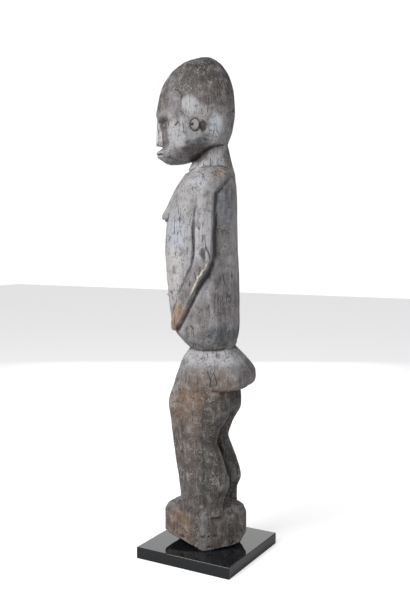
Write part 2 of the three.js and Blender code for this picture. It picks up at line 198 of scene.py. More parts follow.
# %% Head, neck and torso
DOME = [(0, 1), (0.42, 0.96), (0.82, 0.66), (1, 0.05), (0.84, -0.72), (0.4, -1), (0, -1)]
FACE = [(0, 1), (0.3, 0.98), (0.86, 0.76), (1, 0.1), (0.88, -0.72), (0.4, -1), (0, -1)]
NECK = [(0, 1), (0.6, 0.9), (1, 0.3), (1, -0.4), (0.7, -1), (0, -1)]
BARREL = [(0, 1), (0.5, 0.92), (0.9, 0.6), (1, 0.08), (0.87, -0.5), (0.64, -1), (0, -1)]
head_rows = table(
    "z front back half dome",
    (673, 66, 50, 11, 0), (674.5, 71, 39, 22, 0), (678, 75.5, 27, 31, 0), (684, 77.5, 16, 38, 0),
    (692, 77.5, 3, 43, 0), (699, 76.5, -12, 46.5, 0), (703.5, 76, -32, 48, 0), (709, 75.5, -34.5, 49.5, 0),
    (723, 75.5, -39.6, 51.5, 0), (741, 77, -43.2, 52.5, 0.1), (746.5, 84.5, -44, 52.5, 0.5),
    (752, 87, -44.4, 52.5, 0.8), (763, 85.6, -44.6, 52, 1), (776, 83, -43.8, 51, 1),
    (789, 79.6, -42.4, 48.5, 1), (801, 75, -39.6, 45, 1), (813, 67.5, -35.6, 40, 1),
    (825, 58.5, -30.2, 34, 1), (833, 49.5, -24.5, 28.5, 1), (840.5, 36.5, -16.5, 21, 1), (848, 12, -4, 8, 1))
neck_rows = table(
    "z front back half", (630, 44, -44, 50), (650, 42, -45.5, 47), (663, 33.5, -42.6, 39), (676, 26, -39.5, 35),
    (700, 12, -34, 32), (716, 8, -30, 30))
torso_rows = table(
    "z front back half", (362, 25, -42, 40), (365.5, 30, -45, 47), (371, 36, -46.5, 52.5), (378, 42.5, -48, 57),
    (385, 49, -49, 60), (393, 54, -49.8, 62.5), (412, 61, -50.4, 65), (440, 64.5, -50.4, 67),
    (480, 68.4, -49.4, 69), (535, 71.4, -47.4, 71), (583, 66.5, -46.4, 74), (610, 58.5, -46, 76),
    (637, 48.5, -45.6, 74), (650, 40.5, -44, 68), (659, 31, -40, 58), (665, 18, -32, 44))
parts = [body(head_rows, FACE, 0.4, second=DOME), body(neck_rows, NECK, 0.3), body(torso_rows, BARREL, 0.45)]
print("Head, neck and torso:", sum(len(points) for points, faces in parts), "points")

# %% [markdown]
# Below the waist the carver left a wide seat that juts out behind, over two thick legs with one ridge down each
# side. The arms are hardly freed from the log: each is a long raised band that ends in a blade-like hand.

# %% Hips, legs, arms and breasts
HIPS = [(0, 1), (0.55, 0.94), (0.92, 0.55), (1, -0.1), (0.85, -0.8), (0.35, -1), (0, -0.95)]
LEG = [(0, 1), (0.58, 0.9), (1, -0.02), (0.72, -0.78), (0, -1)]
ARM = [(-1, -0.6), (-0.92, 0.5), (-0.1, 1), (0.9, 0.72), (1, -0.6)]
hip_rows = table(
    "z front back half", (276, 40, -25, 36), (288, 50, -40, 50), (294, 54.5, -54, 57), (298, 54.5, -70, 60.5),
    (303, 54, -76.5, 62.5), (312, 52, -79, 63.5), (322, 48.5, -78.6, 62.5), (329, 46.5, -76, 60),
    (336, 44, -71, 57), (350, 37.5, -59, 49.5), (359, 31, -50, 43.5), (367, 27, -42, 40))
leg_rows = table(
    "z front back half side", (78, 37, -43, 21, 27), (96, 36.5, -42, 20.5, 27), (112, 38, -43.5, 20.5, 27),
    (134, 40.5, -50, 22, 28), (160, 44.5, -43, 22, 28.5), (182, 47.5, -35, 21.5, 28.5),
    (206, 51, -27.5, 21.5, 29), (226, 53.5, -33.5, 23, 29.5), (262, 58.5, -49.5, 27, 30.5),
    (272, 58, -49.5, 28, 31), (296, 51.5, -47, 29, 31), (318, 32, -42, 24, 30))
arm_rows = table(
    "side ahead z across out", (44, -9, 652, 32, 11), (57, -6, 637, 23.5, 15), (65, -2, 622, 18.5, 15.5),
    (68.5, -3, 575, 16.5, 13.5), (70, -4, 528, 15.5, 12.5), (69, 1, 503, 14.5, 12), (65.5, 13, 480, 13, 11),
    (57.5, 29, 446, 12.5, 10), (47.5, 44, 414, 11, 9.5), (41, 51, 396, 6.5, 6))
breast_rows = table(
    "z front back half side", (574.5, 58, 30, 12, 25), (577, 68, 25, 15.5, 25), (581, 73.2, 20, 18, 25),
    (584, 74.2, 20, 19, 25), (596, 67.8, 20, 20, 26), (623, 54.4, 12, 20, 28), (650, 37.5, 8, 15, 29))
parts.append(body(hip_rows, HIPS, 0.5))
for mirror in (1, -1):
    parts.append(body(leg_rows, LEG, 0.5, mirror))
    parts.append(limb(arm_rows, ARM, 0.55, mirror))
    parts.append(body(breast_rows, NECK, 0.2, mirror))
print("With limbs:", sum(len(points) for points, faces in parts), "points in", len(parts), "forms")

# %% [markdown]
# The foot block is what is left of the log: a rough many-sided stump, undercut so that it touches the plate
# only in the middle. Its underside is lifted by a different amount at each corner.

# %% Foot block
PLATE_SIDE, PLATE_THICKNESS, REST_GAP = 180.0, 20.0, 0.3
FLOOR = PLATE_THICKNESS + REST_GAP
block_corners = table(
    "x y lift", (36.5, -70, 19), (48, -6, 5), (53, 21, 0), (21, 46, 2), (-4, 62, 5), (-26, 63, 19),
    (-50, 35, 9), (-51, -30, 5), (-32, -66, 14))
block_rings = table("scale lifted height", (0.62, 0, 0), (1, 1, 0), (1, 0, 56), (0.92, 0, 66), (0.55, 0, 78))


def block_ring(scale, lifted, height):
    """One ring of the block: corners scaled in plan, at a height or at each corner's own lift, then rounded."""
    z = FLOOR + height + lifted * block_corners["lift"]
    return rounded(np.stack([block_corners["x"] * scale, block_corners["y"] * scale, z], axis=-1), 0.75)


parts.append(skin(np.stack([block_ring(*row) for row in zip(*block_rings.values())])))
print("The block stands", block_rings["height"].max(), "mm above the plate")

# %% [markdown]
# The face is only a few signs: a long wedge for the nose, two thin lips, an almond for each eye, a small disc
# for each ear. They are small solids set into the head, the same ones as in the solid part.

# %% Nose, lips, navel, eyes and ears
NOSE = {"top": 749, "bottom": 702.5, "ridge_top": 85.6, "ridge_bottom": 87.8, "plane": 73.5, "root": 60,
        "half_top": 7, "half_bottom": 12.5, "ridge": 3}
LIP_BACK = 62
EYE = {"side": 24, "ahead": 71, "z": 734, "half_length": 8, "half_height": 3.2, "depth": 3.4, "outward": 0.45}
EAR = {"ahead": 21, "z": 732, "radius": 8.6, "narrow": 0.8, "inner": 40, "outer": 55}
NAVEL = {"ahead": 58, "tip": 71.5, "z": 453, "base": 8, "end": 4.5}


def nose_section(z, half, ridge):
    """Six corners of the nose at one height: root, side plane and flat ridge, on each side."""
    right = [(-half, NOSE["root"]), (-half, NOSE["plane"]), (-NOSE["ridge"], ridge)]
    left = [(-side, ahead) for side, ahead in reversed(right)]
    side, ahead = np.array(right + left, float).T
    return turned(side, ahead, np.full(len(side), float(z)))


def lip(*rows):
    """Lip: a thin slab through a few sections of height, front and half width, with a common back."""
    rows = table("z front half", *rows)
    rows["back"] = np.full(len(rows["z"]), float(LIP_BACK))
    return body(rows, NECK, 0.1)


def round_form(profile, facing, around=24):
    """Solid of revolution: a profile of radius and reach, turned about the direction it faces. The two cross
    directions are the upright and the level one at right angles to it."""
    radius, reach = np.array(profile, float).T
    angle = np.linspace(0, 2 * np.pi, around, endpoint=False)
    facing = np.array(facing, float) / np.linalg.norm(facing)
    level = np.cross(facing, (0, 0, 1))
    up = np.cross(level, facing)
    ring = np.cos(angle)[:, None] * level + np.sin(angle)[:, None] * up
    return radius[:, None, None] * ring[None] + reach[:, None, None] * facing


def facing_at(z, extra=0.0):
    """Directions in the row frame at height z: to the figure's left, and ahead."""
    angle = np.radians(float(along(TURN, "turn", float(z)))) + extra
    return np.array([np.cos(angle), np.sin(angle), 0]), np.array([np.sin(angle), -np.cos(angle), 0])


parts.append(skin(np.stack([nose_section(NOSE["bottom"], NOSE["half_bottom"], NOSE["ridge_bottom"]),
                            nose_section(NOSE["top"], NOSE["half_top"], NOSE["ridge_top"])])))
parts.append(lip((688, 86, 17), (690, 87.4, 17), (693, 85, 15), (697.5, 79, 10)))
parts.append(lip((678, 76, 12), (681, 81, 15), (684.3, 85.6, 16.5), (686.6, 84.4, 16.5)))

leftward, ahead = facing_at(NAVEL["z"])
stub = [(NAVEL["base"], 0), (NAVEL["end"] + 0.6, 10.5), (NAVEL["end"] * 0.75, 12.8), (0.5, 13.5)]
navel = round_form(stub, ahead) + turned(0, NAVEL["ahead"], np.array(float(NAVEL["z"])))
parts.append(skin(navel))
for mirror in (1, -1):
    leftward, ahead = facing_at(EAR["z"])
    disc = [(EAR["radius"], EAR["inner"]), (EAR["radius"], EAR["outer"] - 1.5), (EAR["radius"] - 1.6, EAR["outer"])]
    ear = round_form(disc, leftward * mirror)
    ear -= ahead * (ear @ ahead)[..., None] * (1 - EAR["narrow"])
    parts.append(skin(ear + ahead * EAR["ahead"] + (0, 0, EAR["z"])))
    eye_side, eye_ahead = facing_at(EYE["z"], mirror * EYE["outward"])
    arc = np.linspace(-1.45, 1.45, 9)
    almond = round_form(np.stack([np.cos(arc), np.sin(arc)], axis=-1), eye_ahead)
    size = np.array([EYE["half_length"], EYE["depth"], EYE["half_height"]])
    axes = np.stack([eye_side, eye_ahead, (0, 0, 1)])
    almond = (almond @ axes.T * size) @ axes
    parts.append(skin(almond + turned(mirror * EYE["side"], EYE["ahead"], np.array(float(EYE["z"])))))
print("All forms:", len(parts))

# %% [markdown]
# On the log all of these are one surface. Joining the closed forms and remeshing them with small voxels melts
# them into one skin with no seams inside. The skin starts finer than it needs to be, so that cracks and cuts
# have points to bend, and it is thinned at the end where it is smooth.

# %% Fuse the forms into one skin
VOXEL = 1.5


def joined_mesh(name, forms):
    """One mesh from several closed skins, in metres."""
    starts = np.cumsum([0] + [len(points) for points, faces in forms])
    points = np.concatenate([points for points, faces in forms]) * MM
    faces = [[int(start) + k for k in face] for start, (_, skin_faces) in zip(starts, forms) for face in skin_faces]
    mesh = bpy.data.meshes.new(name)
    mesh.from_pydata(points.tolist(), [], faces)
    return mesh


def applied(thing):
    """Replace an object's mesh by what its modifiers make of it."""
    made = bpy.data.meshes.new_from_object(thing.evaluated_get(bpy.context.evaluated_depsgraph_get()))
    thing.modifiers.clear()
    thing.data = made
    return thing


figure = bpy.data.objects.new("weathered_figure", joined_mesh("weathered_figure", parts))
bpy.context.scene.collection.objects.link(figure)
fuse = figure.modifiers.new("fuse", "REMESH")
fuse.mode = "VOXEL"
fuse.voxel_size = VOXEL * MM
applied(figure)
print("Fused skin:", len(figure.data.vertices), "points")


# %% [markdown]
# From here on the skin is worked like wood. Its points are read as one array, moved by formulas and written
# back. Every mark is drawn as a line on one view of the figure and pushed onto the skin there.

# %% Reading, writing and smoothing the skin
def read_skin():
    """Points in millimetres and their unit normals."""
    mesh = figure.data
    points, normals = np.empty((2, len(mesh.vertices), 3), np.float32)
    mesh.vertices.foreach_get("co", points.ravel())
    mesh.vertex_normals.foreach_get("vector", normals.ravel())
    return points.astype(float) / MM, normals.astype(float)


def write_skin(points):
    figure.data.vertices.foreach_set("co", (points * MM).astype(np.float32).ravel())
    figure.data.update()


def edge_list():
    edges = np.empty(len(figure.data.edges) * 2, np.int32)
    figure.data.edges.foreach_get("vertices", edges)
    return edges.reshape(-1, 2).T


def averaged(values, edges):
    """Mean of each point's neighbours, by summing over both ends of every edge."""
    a, b = edges
    count = np.bincount(a, minlength=len(values)) + np.bincount(b, minlength=len(values))
    total = np.stack([np.bincount(a, column[b], len(values)) + np.bincount(b, column[a], len(values))
                      for column in values.T], axis=-1)
    return total / count[:, None]


def relaxed(points, edges, rounds, share):
    """Points moved towards the mean of their neighbours, by a share that may differ from point to point."""
    for _ in range(rounds):
        points = points + (averaged(points, edges) - points) * share
    return points


def soft_step(low, high, value):
    """0 below low and 1 above high, with an S-shaped rise between: 3 u u - 2 u u u."""
    u = np.clip((value - low) / (high - low), 0, 1)
    return u * u * (3 - 2 * u)


def between(low, high, value, soft):
    """1 inside a range and 0 outside it, with soft ends."""
    return soft_step(low - soft, low + soft, value) * (1 - soft_step(high - soft, high + soft, value))


points, normals = read_skin()
edges = edge_list()
side, ahead, z = unturned(points)
hip_to_thigh = between(284, 316, z, 8) * soft_step(-45, -10, ahead)
points = relaxed(points, edges, 2, 0.5)
points = relaxed(points, edges, 30, 0.6 * hip_to_thigh[:, None])
write_skin(points)
print("Relaxed skin; hips blended into the thighs at", int((hip_to_thigh > 0.5).sum()), "points")

# %% [markdown]
# Noise makes each repeat of a mark a little different. A lattice of random values, read with soft weights
# between its nodes, gives a smooth bumpy field in space. A seed fixes it, so every run gives the same wood.

# %% Noise in space
LATTICE = 32


def noise(places, size, seed):
    """Random field from -1 to 1 with bumps of the given size: the eight lattice values around each place are
    mixed with S-shaped weights. size may be three numbers, one along each direction."""
    lattice = np.random.default_rng(seed).uniform(-1, 1, (LATTICE,) * 3)
    scaled = places / np.asarray(size, float) + 1000
    cell = np.floor(scaled).astype(int)
    u = scaled - cell
    u = u * u * (3 - 2 * u)
    total = np.zeros(len(places))
    for corner in np.ndindex(2, 2, 2):
        weight = np.prod(np.where(corner, u, 1 - u), axis=1)
        total += weight * lattice[tuple(((cell + corner) % LATTICE).T)]
    return total


def rough(places, size, seed, octaves=3):
    """Sum of finer and finer noise, each layer half as large and half as strong."""
    layers = [noise(places, np.asarray(size, float) / 2 ** k, seed + k) / 2 ** k for k in range(octaves)]
    return sum(layers) / sum(0.5 ** k for k in range(octaves))


# %% [markdown]
# An adze leaves flat bites, each a few fingers long and following the grain. Here seeds are scattered over the
# skin, each with a slightly tilted plane, and every point moves part of the way to the plane of its nearest
# seed. Where two planes meet, a soft ridge stays, which is what catches the light on the real carving.

# %% Adze facets
FACET_SEEDS = 900
FACET_STRETCH = 2.0
FACET_SOFT = 3.0
FACET_TILT = 0.05
FACET_LIMIT = 1.1


def facet_heights(points, normals, seed):
    """Height from each point to the planes near it: seeds are compared by distance, shortened along z, and
    those that face another way are put off. The planes of almost equally near seeds are averaged."""
    random = np.random.default_rng(seed)
    chosen = random.choice(len(points), FACET_SEEDS, replace=False)
    plane_at = points[chosen].astype(np.float32)
    plane_normal = normals[chosen] + random.normal(0, FACET_TILT, (FACET_SEEDS, 3))
    plane_normal = (plane_normal / np.linalg.norm(plane_normal, axis=1, keepdims=True)).astype(np.float32)
    squeeze = np.array([1, 1, 1 / FACET_STRETCH], np.float32)
    heights = np.empty(len(points), np.float32)
    for some in np.array_split(np.arange(len(points)), len(points) // 8000 + 1):
        here = points[some].astype(np.float32)
        facing = normals[some].astype(np.float32) @ plane_normal.T
        a, b = here * squeeze, plane_at * squeeze
        far = (a * a).sum(axis=1)[:, None] + (b * b).sum(axis=1) - 2 * a @ b.T
        far = np.sqrt(np.maximum(far, 0)) + np.where(facing < 0.5, 200, 0)
        weight = np.exp(-(far - far.min(axis=1, keepdims=True)) / FACET_SOFT)
        drop = (plane_at * plane_normal).sum(axis=1) - here @ plane_normal.T
        drop = np.clip(drop / np.maximum(facing, 0.5), -FACET_LIMIT, FACET_LIMIT)
        heights[some] = (drop * weight).sum(axis=1) / weight.sum(axis=1)
    return heights


points, normals = read_skin()
side, ahead, z = unturned(points)
facet_share = 0.75 - 0.5 * between(672, 775, z, 10)
move = facet_heights(points, normals, seed=11) * facet_share
write_skin(points + normals * move[:, None])
print("Facets move the skin by up to", round(float(np.abs(move).max()), 2), "mm")


# %% [markdown]
# Carved lines come next. The ones on the arm follow it, so each point of the skin is first given its place on
# the arm: how far down, and how far from the middle line. The others are paths drawn across one view of the
# figure: the collar, the drying cracks, the cleft of the seat.

# %% Places on the arm, and lines on the skin
def arm_place(points):
    """For each point: the height of the nearest place on the arm's middle line, seen from the side, the gap to
    that line in millimetres, positive in front of or above it, and the arm's half width there."""
    side, ahead, z = unturned(points)
    rows = np.stack([arm_rows["ahead"], arm_rows["z"], arm_rows["across"]])
    reach = np.append(0, np.cumsum(np.linalg.norm(np.diff(rows[:2]), axis=0)))
    at = np.linspace(0, reach[-1], 100)
    line_ahead, line_z, half = (glide(reach, row, at) for row in rows)
    nearest = ((ahead[:, None] - line_ahead) ** 2 + (z[:, None] - line_z) ** 2).argmin(axis=1)
    run = np.stack([np.gradient(line_ahead), np.gradient(line_z)])
    run = (run / np.linalg.norm(run, axis=0))[:, nearest]
    gap = -(ahead - line_ahead[nearest]) * run[1] + (z - line_z[nearest]) * run[0]
    beyond = (ahead - line_ahead[nearest]) * run[0] + (z - line_z[nearest]) * run[1]
    gap = np.where((np.abs(side) > 30) & (np.abs(beyond) < 4), gap, 99)
    return line_z[nearest], gap, half[nearest]


def drawn(points, view, *corners, step=2.5, wobble=0.0, seed=0):
    """Path on the skin through a few corners of one view, in even steps. Its depth is that of the outermost
    skin within 3 mm of each place, averaged along the path so that it runs smoothly."""
    corners = np.array(corners, float)
    reach = np.append(0, np.cumsum(np.linalg.norm(np.diff(corners, axis=0), axis=1)))
    at = np.linspace(0, reach[-1], max(4, int(reach[-1] / step)))
    across, height = (glide(reach, column, at) for column in corners.T)
    across = across + np.random.default_rng(seed).normal(0, 1, len(at)) * wobble
    side, ahead, z = unturned(points)
    level, depth = {"left": (ahead, side), "right": (ahead, -side), "back": (side, -ahead)}[view]
    near = np.hypot(level - across[:, None], z - height[:, None])
    depth = np.where(near < 3, depth, -1e3).max(axis=1)
    depth = np.convolve(np.pad(depth, 2, mode="edge"), np.ones(5) / 5, mode="valid")
    if view == "back":
        return turned(across, -depth, height)
    return turned(depth if view == "left" else -depth, across, height)


def from_path(points, path, reach):
    """Distance from each point to a path, no more than reach, and the share of the path that lies behind the
    nearest place on it."""
    far = np.full(len(points), float(reach))
    share = np.zeros(len(points))
    near = np.where(((points > path.min(axis=0) - reach) & (points < path.max(axis=0) + reach)).all(axis=1))[0]
    for k, (a, b) in enumerate(zip(path[:-1], path[1:])):
        run = b - a
        u = np.clip((points[near] - a) @ run / max(run @ run, 1e-9), 0, 1)
        gap = np.linalg.norm(points[near] - a - u[:, None] * run, axis=1)
        closer = gap < far[near]
        far[near[closer]] = gap[closer]
        share[near[closer]] = (k + u[closer]) / (len(path) - 1)
    return far, share


def vee(gap, half_width):
    """V-shaped profile: 1 on the line, falling evenly to 0 at the half width."""
    return np.clip(1 - np.abs(gap) / half_width, 0, 1)


def cut(points, path, width, depth, taper=0.15):
    """Depth of a V-shaped cut along a path, fading out at both ends."""
    far, share = from_path(points, path, width / 2)
    return depth * vee(far, width / 2) * soft_step(0, taper, share) * soft_step(0, taper, 1 - share)


def mouth_path():
    """Level line between the lips, round the front of the face."""
    round_front = table("side ahead", (-19, 66), (-16, 79), (-9, 86), (0, 88), (9, 86), (16, 79), (19, 66))
    return turned(round_front["side"], round_front["ahead"], np.full(7, 687.3))


# %% Carve the lines
points, normals = read_skin()
side, ahead, z = unturned(points)
arm_z, arm_gap, arm_half = arm_place(points)
rear_edge, front_edge = arm_gap + arm_half, arm_gap - arm_half
upper_arm, forearm = soft_step(505, 522, arm_z), between(398, 512, arm_z, 5)
carved = 1.6 * vee(rear_edge + 1.5, 4.5) * upper_arm * soft_step(662, 640, arm_z)
carved += 3.2 * vee(rear_edge + 1.5, 5.5) * forearm
carved += 1.8 * vee(front_edge - 1, 4) * between(505, 575, arm_z, 12)
carved += 1.0 * vee(front_edge - 1, 4) * forearm
carved -= 1.6 * np.exp(-((arm_gap / arm_half + 0.5) / 0.3) ** 2) * forearm
for view in ("left", "right"):
    collar = drawn(points, view, (46, 655), (30, 662), (11, 667), (-8, 666), (-24, 661), (-38, 652))
    carved += cut(points, collar, 8, 2.4, taper=0.06)
    finger = drawn(points, view, (46, 428), (46, 400))
    carved += cut(points, finger, 4, 1.2)
carved += cut(points, drawn(points, "back", (0, 346), (0, 298)), 10, 3.0)
carved += cut(points, mouth_path(), 5, 4.5, taper=0.05)
ear_far = np.hypot((ahead - EAR["ahead"]) / EAR["narrow"], z - EAR["z"])
ear_side = np.abs(side) > 40
carved += 1.5 * vee(ear_far - EAR["radius"] - 1.5, 3) * ear_side
carved += 2.6 * (1 - soft_step(0.6, 1.15, np.hypot((ahead - 8) / 6.5, (z - 730) / 10))) * ear_side
carved += 4.0 * (1 - soft_step(0.5, 1.3, np.hypot(ahead - 26, z - 732) / 2.4)) * ear_side
write_skin(points - normals * carved[:, None])
print("Carved lines reach", round(float(carved.max()), 2), "mm deep")

# %% [markdown]
# Dry wood wears unevenly: soft grain sinks between hard grain, and the surface ripples a little. The foot
# block, which stood on the ground, is the roughest, and pieces have broken from its lower edge.

# %% Weathering
points, normals = read_skin()
side, ahead, z = unturned(points)
grain = rough(points, (5, 5, 40), seed=21)
lumps = rough(points, 22, seed=31)
block = 1 - soft_step(92, 104, z)
chips = soft_step(0.25, 0.6, rough(points, 9, seed=41)) * (1 - soft_step(24, 52, z - 0.2 * np.abs(side)))
wear = (0.25 + 0.25 * block) * grain + 0.35 * lumps - 2.2 * chips
write_skin(points + normals * wear[:, None])
print("Weathering moves the skin by", round(float(wear.min()), 2), "to", round(float(wear.max()), 2), "mm")

# %% Thin the skin where it is smooth
TRIANGLES = 190000
thin = figure.modifiers.new("thin", "DECIMATE")
thin.ratio = min(1.0, TRIANGLES / (2 * len(figure.data.polygons)))
thin.use_collapse_triangulate = True
applied(figure)
figure.data.shade_smooth()
print("Finished skin:", len(figure.data.polygons), "triangles")

# %% [markdown]
# The patina is the story of the piece. Large areas of it are painted into the skin as a colour attribute: a few
# named earth tones by height, then stains with soft, broken edges. The same attribute also holds painted shade
# on the legs, along the arm and at the ear. Fine grain, cracks and flecks come later, in the material.

# %% Tones, stains and painted shade
# Named tones. The darkest ones also serve as painted shade on the legs, along the arm and at the ear.
TONES = {
    "soot_and_shade": "#26221e", "char": "#3b3633", "umber": "#4a4341", "plum": "#605a5c", "bark": "#5d514a",
    "timber": "#6b5545", "clay": "#866750", "rust": "#5d3a2d", "stone": "#6e6a69", "ash": "#7e7c7c",
    "pale": "#939295", "chalk": "#a5a2a1", "cool": "#9a9da6", "slate": "#6b6e76", "night": "#3f4147",
    "moss_and_shade": "#37342f", "ivory": "#cdc4b4",
}


def tone(name):
    """Linear colour of a named tone, from its sRGB code."""
    value = np.array([int(TONES[name][k:k + 2], 16) for k in (1, 3, 5)]) / 255
    return np.where(value > 0.04045, ((value + 0.055) / 1.055) ** 2.4, value / 12.92)


tone_rows = [(20, "bark"), (95, "umber"), (150, "umber"), (230, "bark"), (285, "timber"), (318, "bark"),
             (335, "stone"), (343, "pale"), (362, "pale"), (366, "stone"), (400, "ash"), (470, "pale"),
             (570, "pale"), (650, "ash"), (668, "pale"), (700, "ash"), (745, "ash"), (775, "umber"),
             (800, "char"), (848, "soot_and_shade")]
stains = [
    ("umber", 80, 778, 20, 40, 0.9), ("plum", 52, 762, 16, 24, 0.8), ("pale", 26, 764, 18, 17, 1.0),
    ("umber", -8, 782, 22, 24, 0.8), ("plum", -44, 755, 9, 50, 0.8), ("stone", 18, 738, 16, 14, 0.7),
    ("cool", -12, 732, 12, 15, 1.0), ("pale", 48, 718, 16, 24, 1.0), ("umber", 70, 716, 6, 26, 0.9),
    ("chalk", 82, 722, 7, 22, 1.0), ("night", 18, 706, 20, 7, 1.0), ("umber", 20, 690, 30, 12, 1.0),
    # Next row: the two darkest spots at the ear are painted shade in the ear's hole and in the carved hollow behind
    # it.
    ("plum", 55, 682, 22, 9, 0.8), ("soot_and_shade", 8, 730, 6, 8, 0.7), ("soot_and_shade", 26, 732, 2.6, 2.6, 1.0),
    ("slate", -4, 688, 6, 12, 0.8), ("umber", -36, 680, 9, 24, 0.8), ("timber", -24, 654, 16, 10, 0.8),
    ("cool", 10, 640, 20, 12, 0.5), ("ash", 55, 600, 18, 22, 0.6), ("cool", 44, 556, 18, 34, 0.9),
    ("chalk", 52, 490, 22, 46, 0.8), ("slate", -34, 600, 14, 44, 0.9), ("umber", -40, 630, 6, 26, 0.7),
    ("stone", -32, 540, 14, 40, 0.9), ("plum", -34, 450, 18, 56, 0.9), ("night", -32, 386, 24, 17, 1.0),
    ("stone", 6, 420, 24, 34, 0.8), ("stone", -4, 374, 22, 9, 0.6), ("plum", -76, 322, 16, 18, 0.9),
    ("bark", -14, 314, 40, 12, 0.9), ("umber", -14, 322, 8, 7, 0.7), ("stone", 42, 310, 14, 34, 0.8),
    ("rust", -14, 272, 9, 11, 0.9), ("ash", 38, 335, 12, 20, 0.5), ("plum", 40, 110, 20, 20, 0.5),
    ("timber", 32, 52, 30, 30, 0.9), ("umber", -22, 58, 20, 26, 0.8), ("moss_and_shade", -54, 58, 10, 26, 0.8),
]

points, normals = read_skin()
side, ahead, z = unturned(points)
ragged = rough(points, 13, seed=71)
warp = np.stack([rough(points, 26, seed=51), rough(points, 30, seed=61)])
drift_ahead, drift_z = ahead + 6 * warp[0], z + 7 * warp[1]
heights = np.array([row[0] for row in tone_rows], float)
columns = np.array([tone(name) for _, name in tone_rows])
patina_and_shade = np.stack([np.interp(z + 5 * warp[1] + 5 * ragged, heights, column) for column in columns.T], axis=-1)


def paint_tone(name, share):
    """Blend the painted colour towards a tone by a share that differs from point to point."""
    global patina_and_shade
    patina_and_shade = patina_and_shade + (tone(name) - patina_and_shade) * np.clip(share, 0, 1)[:, None]


right_side = soft_step(5, 25, -side)
for number, (name, stain_ahead, stain_z, reach_ahead, reach_z, strength) in enumerate(stains):
    shift = 8 * right_side * np.random.default_rng(number).uniform(-1, 1)
    large = min(reach_ahead, reach_z) > 4
    far = np.hypot(((drift_ahead if large else ahead) - stain_ahead - shift * large) / reach_ahead,
                   ((drift_z if large else z) - stain_z + shift * large) / reach_z)
    paint_tone(name, strength * (1 - soft_step(0.7, 1.25, far + 0.35 * ragged)))
# Painted shade on the legs: dark tones on the back of each leg behind its side ridge, on the inner faces between
# the legs, and on the back of the right leg.
ridge = np.interp(z, (105, 190, 280), (1, -2, -10))
legs = between(100, 288, z, 4)
paint_tone("moss_and_shade", 0.85 * legs * soft_step(-3, 5, ridge - ahead + 2 * ragged))
paint_tone("moss_and_shade", 0.9 * legs * soft_step(14, 2, np.abs(side) - 4 * soft_step(0, 20, ahead)))
paint_tone("soot_and_shade", 0.6 * legs * soft_step(6, -4, side) * soft_step(10, -20, ahead))
arm_z, arm_gap, arm_half = arm_place(points)
along_gap = arm_gap / arm_half
paint_tone("plum", 0.8 * between(-0.75, 0.95, along_gap + 0.2 * ragged, 0.1) * between(440, 512, arm_z + 5 * ragged, 5))
paint_tone("clay", 0.95 * between(-0.9, 1.0, along_gap + 0.2 * ragged, 0.1) * between(392, 440, arm_z + 6 * ragged, 6))
# Painted shade along the arm: a dark strip in the groove under the forearm and a darker strip behind the upper
# arm's rear edge.
paint_tone("soot_and_shade", 0.85 * between(-1.35, -0.98, along_gap, 0.08) * between(398, 516, arm_z, 6))
paint_tone("umber", 0.7 * between(-1.2, -1.0, along_gap, 0.06) * between(520, 640, arm_z, 8))
print("Painted", len(stains), "stains in", len(TONES), "tones")

# %% [markdown]
# Two more fields follow from the shape itself. Hollows are painted dark, partly as the dirt they keep and partly as
# painted shade, and high edges are rubbed pale. Both come from comparing each point with the mean of the skin
# around it.

# %% Hollows and worn edges
edges = edge_list()


def bulge(rounds):
    """How far each point stands out of the skin around it: the way back from the smoothed skin, along the
    normal, in millimetres."""
    return ((points - relaxed(points, edges, rounds, 0.7)) * normals).sum(axis=1)


fine, broad = bulge(4), bulge(30)
# hollow: where the skin is painted darker, partly dirt kept in hollows, partly painted shade
hollow = np.clip(soft_step(0.04, 0.3, -fine) + soft_step(0.35, 1.6, -broad), 0, 1)
edge_wear = np.clip(0.6 * soft_step(0.05, 0.3, fine) + soft_step(0.5, 1.8, broad), 0, 1)


def store(name, values):
    """Keep an array as an attribute of the skin's points, for the material to read."""
    kind, key = ("FLOAT_COLOR", "color") if values.ndim == 2 else ("FLOAT", "value")
    if values.ndim == 2:
        values = np.concatenate([values, np.ones((len(values), 1))], axis=1)
    figure.data.attributes.new(name, kind, "POINT").data.foreach_set(key, values.astype(np.float32).ravel())


crack_path = drawn(points, "left", (-16, 514), (-7, 498), (2, 486), (11, 468), (18, 452), wobble=0.8, seed=5)
ivory = np.clip(cut(points, crack_path, 4.5, 1.6), 0, 1)
block_crack = drawn(points, "left", (-58, 74), (-58, 58), (-57, 40), wobble=0.4, seed=6)
ivory = np.maximum(ivory, np.clip(cut(points, block_crack, 3.5, 1.6), 0, 1))
store("patina_and_shade", np.clip(patina_and_shade, 0, 1))
store("hollow", hollow)
store("edge_wear", edge_wear)
store("ivory", ivory)
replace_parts(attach(figure, "root"), "carved_figure")
print("Hollow share", round(float(hollow.mean()), 3), "worn share", round(float(edge_wear.mean()), 3))


# %% [markdown]
# Materials are built from small shader groups, so that the same grain, flecks or dust can be used again with
# other values. A few helpers keep the node code short.

# %% Shader helpers
def add(tree, kind, inputs=(), **settings):
    """New node with its settings, and its inputs given by name or number as values or as other sockets."""
    node = tree.nodes.new(kind)
    for key, value in settings.items():
        setattr(node, key, value)
    for key, value in dict(inputs).items():
        if isinstance(value, bpy.types.NodeSocket):
            tree.links.new(value, node.inputs[key])
        else:
            node.inputs[key].default_value = value
    return node


def group(name, inputs, outputs):
    """Empty shader group with named sockets; returns its tree, its input node and its output node."""
    tree = bpy.data.node_groups.new(name, "ShaderNodeTree")
    for label, kind, value in inputs:
        socket = tree.interface.new_socket(name=label, in_out="INPUT", socket_type=kind)
        if value is not None:
            socket.default_value = value
    for label, kind in outputs:
        tree.interface.new_socket(name=label, in_out="OUTPUT", socket_type=kind)
    return tree, tree.nodes.new("NodeGroupInput").outputs, tree.nodes.new("NodeGroupOutput").inputs


